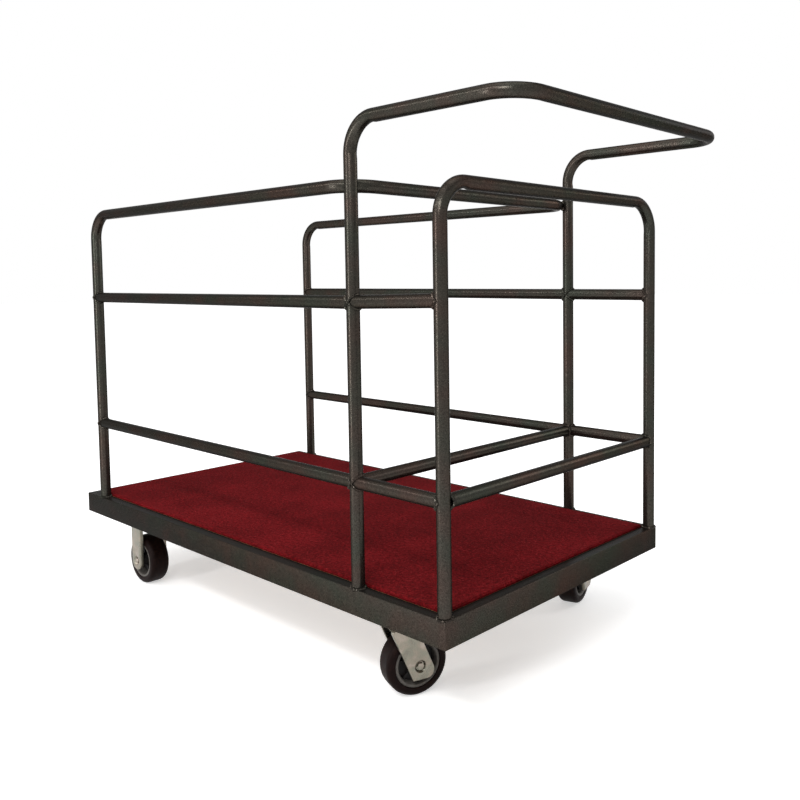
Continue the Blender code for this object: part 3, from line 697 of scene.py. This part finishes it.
def make_carpet():
    """The felted carpet as a sheet with a soft, slightly ragged edge and a lumpy pile."""
    low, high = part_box("deck_carpet")
    snug = Vector((1.2 * MM, 1.2 * MM, 0))
    low, high = low - snug - Vector((0, 0, 0.25 * MM)), high + snug
    spacing = 2.6 * MM
    across = int((high.x - low.x) / spacing)
    deep = int((high.y - low.y) / spacing)
    thickness = high.z - low.z
    rounding = 3.0 * MM
    bm = bmesh.new()
    grid = []
    for column in range(across + 1):
        line = []
        for row in range(deep + 1):
            x = low.x + (high.x - low.x) * column / across
            y = low.y + (high.y - low.y) * row / deep
            edge = min(x - low.x, high.x - x, y - low.y, high.y - y)
            drop = max(0.0, 1 - edge / rounding)
            here = Vector((x, y, 0))
            pile = 0.35 * MM * noise.noise(here / (5 * MM))
            pile += 0.30 * MM * noise.noise(here / (2.4 * MM) + Vector((7, 3, 1)))
            swell = 0.35 * MM * noise.noise(here / (90 * MM))
            z = high.z - 0.5 * MM - 0.45 * thickness * drop * drop + pile + swell
            line.append(bm.verts.new((x, y, min(z, high.z + 0.4 * MM))))
        grid.append(line)
    for column in range(across):
        for row in range(deep):
            bm.faces.new(
                (
                    grid[column][row],
                    grid[column + 1][row],
                    grid[column + 1][row + 1],
                    grid[column][row + 1],
                )
            )
    border = [line[0] for line in grid] + grid[-1][1:]
    border += [line[-1] for line in grid[-2::-1]] + grid[0][-2:0:-1]
    foot = [bm.verts.new((v.co.x, v.co.y, low.z)) for v in border]
    join_rings(bm, [foot, border])
    bm.faces.new(foot)
    felt = make_piece("carpet_felt", bm, CARPET, stands_for=["deck_carpet"])


# ---------------------------------------------------------------- casters


def caster_place(kind, side):
    """The caster's pivot on the ground turned to its trail, its axle, and their bodies."""
    roll = JOINTS[f"roll_{kind}_{side}"]
    axle = Vector(roll["pos_m"])
    turn = math.atan2(-roll["axis"][0], roll["axis"][1])
    pivot = Vector(JOINTS[f"swivel_{side}"]["pos_m"]) if kind == "swivel" else axle
    spin = Matrix.Rotation(turn, 4, "Z")
    return (
        Matrix.Translation((pivot.x, pivot.y, 0)) @ spin,
        Matrix.Translation(axle) @ spin @ Matrix.Rotation(-math.pi / 2, 4, "X"),
        f"swivel_{side}" if kind == "swivel" else ROOT,
    )


def make_wheel(name, axle):
    """Tread with soft shoulders, and the wheel centre: a round rim band, a deep recess with
    low ribs, and the hub."""
    body = f"wheel_{name}"
    tread_low, tread_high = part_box(f"wheel_tread_{name}")
    radius = (tread_high.z - tread_low.z) / 2
    half = TREAD_HALF
    across, deep = 10 * MM, 11 * MM
    profile = [(46.2 * MM, half - 1.0 * MM), (47.2 * MM, half - 0.2 * MM)]
    for step in range(11):
        turn = math.pi / 2 * step / 10
        out = radius - across + across * math.sin(turn)
        profile.append((out, half - deep + deep * math.cos(turn)))
    profile += [(radius + 0.1 * MM, 6 * MM), (radius + 0.1 * MM, 0)]
    profile += [(r, -z) for r, z in reversed(profile[:-1])]
    bm = bmesh.new()
    add_turned(bm, profile, 96, axle)
    make_piece(f"tread_{name}", bm, TREAD, body, [f"wheel_tread_{name}"])
    hub = [
        (6.3 * MM, HUB_HALF),
        (14.6 * MM, HUB_HALF),
        (15.5 * MM, HUB_HALF - 0.9 * MM),
        (17.0 * MM, 6.0 * MM),
        (19.0 * MM, 4.2 * MM),
        (39.5 * MM, 4.2 * MM),
    ]
    bm = bmesh.new()
    add_turned(bm, hub + [(r, -z) for r, z in reversed(hub)], 60, axle)
    for spoke in range(6):
        turn = Matrix.Rotation(math.pi / 3 * spoke + 0.2, 4, "Z")
        add_box(bm, (14 * MM, -1.5 * MM, -11 * MM), (39 * MM, 1.5 * MM, 11 * MM), axle @ turn)
    # the disc and ribs take the nylon darkened as painted shade in the recess
    make_piece(f"wheel_disc_{name}", bm, RECESS_SHADED_NYLON, body, [f"wheel_core_{name}"])
    band = [
        (38.0 * MM, 4.0 * MM),
        (38.6 * MM, 17.5 * MM),
        (39.2 * MM, 20.6 * MM),
        (40.6 * MM, 22.4 * MM),
        (42.6 * MM, 23.0 * MM),
        (44.8 * MM, 22.5 * MM),
        (46.0 * MM, 21.2 * MM),
    ]
    bm = bmesh.new()
    add_turned(bm, band + [(r, -z) for r, z in reversed(band)], 80, axle)
    make_piece(f"wheel_band_{name}", bm, BAND, body)


def make_axle(name, axle, body):
    """Hexagon bolt and lock nut, whose head and nut lie in the fork's pressed seats, and the
    bush that the wheel turns on."""
    side = FORK_SEAT + 0.1 * MM
    flats = HEX_HALF
    corner = flats / math.cos(math.pi / 6)
    bm = bmesh.new()
    head = [
        (0, -side - 5.3 * MM),
        (flats, -side - 5.3 * MM, flats * 0.93),
        (flats, -side - 4.6 * MM, corner * 0.985),
        (flats, -side - 0.5 * MM),
        (flats * 1.13, -side - 0.4 * MM, flats * 1.13),
        (flats * 1.13, -side, flats * 1.13),
        (0, -side),
    ]
    add_turned(bm, head, 48, axle, closed=False, hexagon=True)
    shank = [(0, -side), (SHANK, -side), (SHANK, side + 6.4 * MM)]
    for step in range(4):
        crest = side + (6.8 + step * 0.8) * MM
        shank += [(3.7 * MM, crest), (SHANK, crest + 0.4 * MM)]
    shank += [(BOLT_END, side + 9.9 * MM), (0, side + 9.9 * MM)]
    add_turned(bm, shank, 32, axle, closed=False)
    make_piece(f"hex_bolt_{name}", bm, ZINC, body, [f"axle_bolt_{name}"])
    bm = bmesh.new()
    nut = [
        (SHANK, side),
        (flats, side, flats * 0.96),
        (flats, side + 0.7 * MM),
        (flats, side + 5.0 * MM),
        (flats, side + 5.6 * MM, flats * 0.96),
        (flats * 0.8, side + 6.8 * MM, flats * 0.8),
        (SHANK, side + 6.8 * MM),
    ]
    add_turned(bm, nut, 48, axle, hexagon=True)
    make_piece(f"lock_nut_{name}", bm, ZINC, body, [f"axle_nut_{name}"])
    bm = bmesh.new()
    end = FORK_INNER - GAP
    add_turned(bm, [(4.3 * MM, end), (6 * MM, end), (6 * MM, -end), (4.3 * MM, -end)], 40, axle)
    make_piece(f"steel_bush_{name}", bm, ZINC, body, [f"axle_bush_{name}"])


def inset_outline(outline, inset):
    """A convex flat outline moved in by a distance on every side."""
    points = [Vector(point) for point in outline]
    middle = sum(points, Vector((0, 0))) / len(points)
    moved = []
    for before, corner, after in zip(points[-1:] + points[:-1], points, points[1:] + points[:1]):
        sides = []
        for start, end in ((before, corner), (corner, after)):
            along = (end - start).normalized()
            inward = Vector((-along.y, along.x))
            sides.append(inward if inward.dot(middle - start) > 0 else -inward)
        both = (sides[0] + sides[1]).normalized()
        moved.append(tuple(corner + both * inset / both.dot(sides[0])))
    return moved


def add_channel_leg(bm, outline, hand, axle_x, axle_z, place):
    """Adds a fork leg pressed from sheet: a shallow channel open towards the wheel, with
    rolled edges and a round seat sunk for the bolt's head or nut. hand is its side, 1 or -1."""

    def ring(points, y):
        return [bm.verts.new(place @ Vector((x, hand * y, z))) for x, z in points]

    def around(radius):
        turns = [2 * math.pi * step / 32 for step in range(32)]
        return [(axle_x + radius * math.cos(t), axle_z + radius * math.sin(t)) for t in turns]

    rings = [
        ring(inset_outline(outline, FORK_GAUGE), FORK_OUTER - FORK_GAUGE),
        ring(inset_outline(outline, FORK_GAUGE), FORK_INNER + 0.5 * MM),
        ring(inset_outline(outline, FORK_GAUGE - 0.5 * MM), FORK_INNER),
        ring(inset_outline(outline, 0.5 * MM), FORK_INNER),
        ring(outline, FORK_INNER + 0.5 * MM),
    ]
    for step in range(5):
        turn = math.pi / 2 * step / 4
        rolled = inset_outline(outline, FORK_ROLL * (1 - math.cos(turn)))
        rings.append(ring(rolled, FORK_OUTER - FORK_ROLL * (1 - math.sin(turn))))
    join_rings(bm, rings)
    seat = [
        ring(around(13.0 * MM), FORK_OUTER),
        ring(around(12.3 * MM), FORK_OUTER - 0.2 * MM),
        ring(around(11.6 * MM), FORK_OUTER - 0.8 * MM),
        ring(around(9.3 * MM), FORK_SEAT + 0.7 * MM),
        ring(around(8.6 * MM), FORK_SEAT),
        ring(around(4.2 * MM), FORK_SEAT),
        ring(around(4.2 * MM), FORK_INNER),
        ring(around(12.2 * MM), FORK_INNER),
        ring(around(15.0 * MM), FORK_OUTER - FORK_GAUGE),
    ]
    join_rings(bm, seat)
    for border, hole in ((rings[-1], seat[0]), (rings[0], seat[-1])):
        edges = []
        for loop in (border, hole):
            for start, end in zip(loop, loop[1:] + loop[:1]):
                edges.append(bm.edges.get((start, end)))
        bmesh.ops.triangle_fill(bm, edges=edges, use_beauty=True, normal=(0, hand, 0))


def make_fork(name, outline, axle_x, axle_z, crown, place, body, node):
    """A fork's two channel legs, and the crown that joins them where it has one."""
    bm = bmesh.new()
    for hand in (-1, 1):
        add_channel_leg(bm, outline, hand, axle_x, axle_z, place)
    if crown:
        top = max(z for _, z in outline)
        level = top - FORK_GAUGE
        roof = []
        for (x0, z0), (x1, z1) in zip(outline, outline[1:] + outline[:1]):
            if z0 >= level:
                roof.append((x0, z0))
            if (z0 - level) * (z1 - level) < 0:
                roof.append((x0 + (x1 - x0) * (level - z0) / (z1 - z0), level))
        ends = []
        for y in (-FORK_INNER - 1 * MM, FORK_INNER + 1 * MM):
            ends.append([bm.verts.new(place @ Vector((x, y, z))) for x, z in roof])
        join_rings(bm, ends)
        bm.faces.new(ends[0])
        bm.faces.new(ends[1])
    make_piece(name, bm, ZINC, body, [node])


def round_corner(before, corner, after, radius, steps=8):
    """Points of the arc that rounds a flat outline's corner."""
    before, corner, after = Vector(before), Vector(corner), Vector(after)
    back = (before - corner).normalized()
    ahead = (after - corner).normalized()
    half = back.angle(ahead) / 2
    start = corner + back * radius / math.tan(half)
    end = corner + ahead * radius / math.tan(half)
    centre = corner + (back + ahead).normalized() * radius / math.sin(half)
    points = []
    for step in range(steps + 1):
        arm = (start - centre).lerp(end - centre, step / steps)
        points.append(tuple(centre + arm.normalized() * radius))
    return points


def make_plates(kind, side, pivot):
    """The pad under the frame and the four bolts through it and the caster's top plate, whose
    lower and upper faces it returns.
    """
    name = f"{kind}_{side}"
    pad_low, pad_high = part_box(f"caster_pad_{name}")
    flat = Matrix.Translation((pivot.x, pivot.y, 0))
    bm = bmesh.new()
    outline = rounded_rectangle(pad_high.x - pad_low.x, pad_high.y - pad_low.y, PLATE_CORNER)
    add_prism(bm, outline, pad_low.z, pad_high.z, flat)
    make_piece(f"bolting_pad_{name}", bm, BRONZE, ROOT, [f"caster_pad_{name}"], bevel=0.6 * MM)
    plate_top = pad_low.z - GAP
    plate_low = plate_top - PLATE_THICKNESS
    washer_low = plate_low - 1.6 * MM
    head_low = plate_low - 7 * MM
    head = [
        (0, head_low),
        (HEX_HALF, head_low, 6.1 * MM),
        (HEX_HALF, head_low + 0.7 * MM, 7.4 * MM),
        (HEX_HALF, washer_low),
        (0, washer_low),
    ]
    washer = [(SHANK, washer_low), (8.2 * MM, washer_low), (8.2 * MM, plate_low)]
    washer += [(SHANK, plate_low)]
    end = pad_high.z + 10 * MM
    shank = [(0, plate_low), (SHANK, plate_low), (SHANK, end)]
    shank += [(BOLT_END, end + 0.6 * MM), (0, end + 0.6 * MM)]
    nut = [
        (SHANK, pad_high.z),
        (HEX_HALF, pad_high.z, HEX_HALF),
        (HEX_HALF, pad_high.z + 0.8 * MM),
        (HEX_HALF, pad_high.z + 5.8 * MM),
        (HEX_HALF, pad_high.z + 6.5 * MM, 6.3 * MM),
        (SHANK, pad_high.z + 6.5 * MM),
    ]
    bolts = bmesh.new()
    for x, y in BOLT_PLACES:
        spot = flat @ Matrix.Translation((x, y, 0))
        add_turned(bolts, head, 36, spot, closed=False, hexagon=True)
        add_turned(bolts, washer, 32, spot)
        add_turned(bolts, shank, 24, spot, closed=False)
        add_turned(bolts, nut, 36, spot, hexagon=True)
    make_piece(f"plate_bolts_{name}", bolts, ZINC)
    return plate_low, plate_top


def make_swivel_caster(side):
    place, axle, body = caster_place("swivel", side)
    pivot = place.translation
    name = f"swivel_{side}"
    plate_low, plate_top = make_plates("swivel", side, pivot)
    bm = bmesh.new()
    flat = Matrix.Translation((pivot.x, pivot.y, 0))
    outline = rounded_rectangle(PLATE_LENGTH, PLATE_WIDTH, PLATE_CORNER)
    add_prism(bm, outline, plate_low, plate_top, flat)
    make_piece(f"top_plate_{side}", bm, ZINC, ROOT, [f"swivel_plate_{side}"], bevel=0.7 * MM)
    race_low, race_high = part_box(f"ball_race_{side}")
    bm = bmesh.new()
    mid = race_low.z + 7.6 * MM
    upper = [
        (RACE_BORE, race_high.z),
        (29 * MM, race_high.z),
        (31 * MM, race_high.z - 1.2 * MM),
        (31.5 * MM, race_high.z - 4.0 * MM),
        (30.0 * MM, mid + 0.9 * MM),
        (27.5 * MM, mid + 0.4 * MM),
        (RACE_BORE, mid + 0.4 * MM),
    ]
    add_turned(bm, upper, 64, flat)
    lower = [
        (RACE_BORE, mid - 0.4 * MM),
        (26.0 * MM, mid - 0.4 * MM),
        (27.2 * MM, mid - 1.4 * MM),
        (25.0 * MM, race_low.z + 2.2 * MM),
        (21.5 * MM, race_low.z),
        (RACE_BORE, race_low.z),
    ]
    add_turned(bm, lower, 64, flat)
    make_piece(f"raceway_{side}", bm, ZINC, ROOT, [f"ball_race_{side}"])
    pin_low, pin_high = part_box(f"kingpin_{side}")
    bm = bmesh.new()
    pin = [
        (0, pin_low.z),
        (KINGPIN, pin_low.z),
        (9 * MM, pin_low.z + 0.6 * MM),
        (10.5 * MM, pin_low.z + 2.2 * MM),
        (10.8 * MM, pin_low.z + 5 * MM),
        (KINGPIN, pin_low.z + 5 * MM),
        (KINGPIN, pin_high.z),
        (0, pin_high.z),
    ]
    add_turned(bm, pin, 40, flat, closed=False)
    make_piece(f"riveted_kingpin_{side}", bm, ZINC, ROOT, [f"kingpin_{side}"])
    crown = race_low.z - GAP
    half = SWIVEL_LEG / 2 / math.cos(FORK_RAKE)
    axle_z = axle.translation.z
    foot = axle_z - SWIVEL_FOOT

    def middle(z):
        return SWIVEL_OFFSET - (z - axle_z) * math.tan(FORK_RAKE)

    top_left = (middle(crown) - half, crown)
    top_right = (middle(crown) + half, crown)
    low_right = (middle(foot) + half, foot)
    low_left = (middle(foot) - half, foot)
    outline = round_corner(low_left, top_left, top_right, 6 * MM)
    outline += round_corner(top_left, top_right, low_right, 6 * MM)
    outline += round_corner(top_right, low_right, low_left, 16 * MM, 14)
    outline += [low_left]
    node = f"swivel_fork_{side}"
    make_fork(f"pressed_fork_{name}", outline, SWIVEL_OFFSET, axle_z, True, place, body, node)
    make_axle(name, axle, body)
    make_wheel(name, axle)


def make_rigid_caster(side):
    place, axle, body = caster_place("rigid", side)
    name = f"rigid_{side}"
    plate_low, plate_top = make_plates("rigid", side, place.translation)
    bm = bmesh.new()
    outline = rounded_rectangle(PLATE_LENGTH, PLATE_WIDTH, PLATE_CORNER)
    add_prism(bm, outline, plate_low, plate_top, place)
    make_piece(f"top_plate_{name}", bm, ZINC, bevel=0.7 * MM)
    half = RIGID_LEG / 2
    foot = axle.translation.z - half
    corners = [(-half, foot), (-half, plate_low), (half, plate_low), (half, foot)]
    outline = corners[1:3]
    outline += round_corner(corners[2], corners[3], corners[0], half - 1 * MM, 16)
    outline += round_corner(corners[3], corners[0], corners[1], half - 1 * MM, 16)
    node = f"rigid_fork_{side}"
    height = axle.translation.z
    make_fork(f"pressed_fork_{name}", outline, 0.0, height, False, place, body, node)
    bm = bmesh.new()
    for hand in (-1, 1):
        y = hand * (FORK_OUTER + 0.6 * MM)
        line = [Vector((step * 2 * MM, y, plate_low - 0.8 * MM)) for step in range(-9, 10)]
        line = [place @ point for point in line]
        centre = place @ Vector((0, 0, plate_low))
        add_bead(bm, line, centre, 1.8 * MM, 80 + hand, closed=False)
    make_piece(f"weld_beads_fork_{name}", bm, ZINC)
    make_axle(name, axle, body)
    make_wheel(name, axle)


# ---------------------------------------------------------------- studio


def make_camera():
    """A camera at waist height off the near corner of the handle end, looking back at the cart."""
    yaw, pitch, roll = (math.radians(angle) for angle in (41.301, 3.597, -0.56))
    ahead = Vector(
        (-math.sin(yaw) * math.cos(pitch), math.cos(yaw) * math.cos(pitch), -math.sin(pitch))
    )
    right = Vector((math.cos(yaw), math.sin(yaw), 0))
    up = right.cross(ahead)
    tilted_right = math.cos(roll) * right + math.sin(roll) * up
    tilted_up = math.cos(roll) * up - math.sin(roll) * right
    data = bpy.data.cameras.new("camera")
    data.sensor_width = 36
    data.lens = 37.609
    data.shift_x = -0.1
    data.shift_y = -0.088
    camera = bpy.data.objects.new("camera", data)
    turn = Matrix((tilted_right, tilted_up, -ahead)).transposed().to_4x4()
    camera.matrix_world = Matrix.Translation((1.5421, -1.3534, 0.7960)) @ turn
    bpy.context.scene.collection.objects.link(camera)
    bpy.context.scene.camera = camera


def make_lamp(name, place, target, size, power):
    data = bpy.data.lights.new(name, "AREA")
    data.shape = "RECTANGLE"
    data.size, data.size_y = size
    data.energy = power
    lamp = bpy.data.objects.new(name, data)
    lamp.location = place
    aim = Vector(target) - Vector(place)
    lamp.rotation_euler = aim.to_track_quat("-Z", "Y").to_euler()
    bpy.context.scene.collection.objects.link(lamp)


def seen_directly(tree):
    """1 for a ray from the camera, a reflection or a refraction, and 0 for other light."""
    path = add_node(tree, "LightPath")
    larger = {"operation": "MAXIMUM"}
    either = add_node(tree, "Math", larger, _0=path["Is Camera Ray"], _1=path["Is Glossy Ray"])[0]
    return add_node(tree, "Math", larger, _0=either, _1=path["Is Transmission Ray"])[0]


def make_studio():
    """White walls and floor round the cart, softboxes above it and past its handle end, a
    long strip on each side that lights the rails' upper sides, and an upright one for posts."""
    world = bpy.data.worlds.new("white studio")
    bpy.context.scene.world = world
    world.use_nodes = True
    tree = world.node_tree
    background = tree.nodes["Background"]
    background.inputs["Color"].default_value = (1, 1, 1, 1)
    seen = seen_directly(tree)
    strength = add_node(tree, "MapRange", Value=seen, _1=0.0, _2=1.0, _3=0.38, _4=1.0)[0]
    tree.links.new(strength, background.inputs["Strength"])

    material = bpy.data.materials.new("pale_floor")
    material.use_nodes = True
    tree = material.node_tree
    shader = tree.nodes["Principled BSDF"]
    shader.inputs["Base Color"].default_value = linear("#f4f4f4")
    shader.inputs["Roughness"].default_value = 0.9
    shader.inputs["Emission Color"].default_value = (1, 1, 1, 1)
    place = add_node(tree, "TexCoord")["Object"]
    away = add_node(tree, "VectorMath", {"operation": "LENGTH"}, _0=place)["Value"]
    white = add_node(tree, "MapRange", Value=away, _1=0.7, _2=2.6, _3=0.5, _4=0.8)[0]
    glow = add_node(tree, "Math", {"operation": "MULTIPLY"}, _0=seen_directly(tree), _1=white)[0]
    tree.links.new(glow, shader.inputs["Emission Strength"])
    bm = bmesh.new()
    bmesh.ops.create_grid(bm, x_segments=1, y_segments=1, size=30)
    mesh = bpy.data.meshes.new("floor")
    bm.to_mesh(mesh)
    bm.free()
    mesh.materials.append(material)
    floor = bpy.data.objects.new("floor", mesh)
    bpy.context.scene.collection.objects.link(floor)

    make_lamp("overhead_softbox", (0.1, -0.3, 2.7), (0.1, 0, 0.3), (2.6, 1.6), 20)
    make_lamp("near_side_high_strip", (-0.4, -1.9, 2.1), (-0.4, 0, 0.7), (4.0, 0.26), 28)
    make_lamp("far_side_strip", (0.2, 3.0, 1.7), (0.2, 0, 0.5), (3.8, 1.0), 16)
    make_lamp("far_side_softbox", (1.8, 2.4, 1.9), (0.5, 0, 0.8), (1.0, 1.0), 12)
    make_lamp("near_side_softbox", (1.25, -1.75, 1.75), (0.25, 0, 0.35), (0.7, 0.7), 17)
    make_lamp("near_side_strip", (-0.5, -2.7, 0.85), (0, 0, 0.8), (0.28, 1.6), 27)
    bpy.context.scene.view_settings.view_transform = "Standard"


# ---------------------------------------------------------------- the cart

# The cross members and the board stay as they are in CAD, and only take their finish.
for node, piece in frame["nodes"].items():
    if node.startswith("cross_member") or node == "deck_board":
        piece.data.materials.clear()
        piece.data.materials.append(PLYWOOD if node == "deck_board" else BRONZE)

make_camera()
make_platform_frame()
make_carpet()
make_bent_tubes()
make_straight_tubes()
make_post_welds()
for side in SIDES:
    make_rigid_caster(side)
    make_swivel_caster(side)
make_studio()
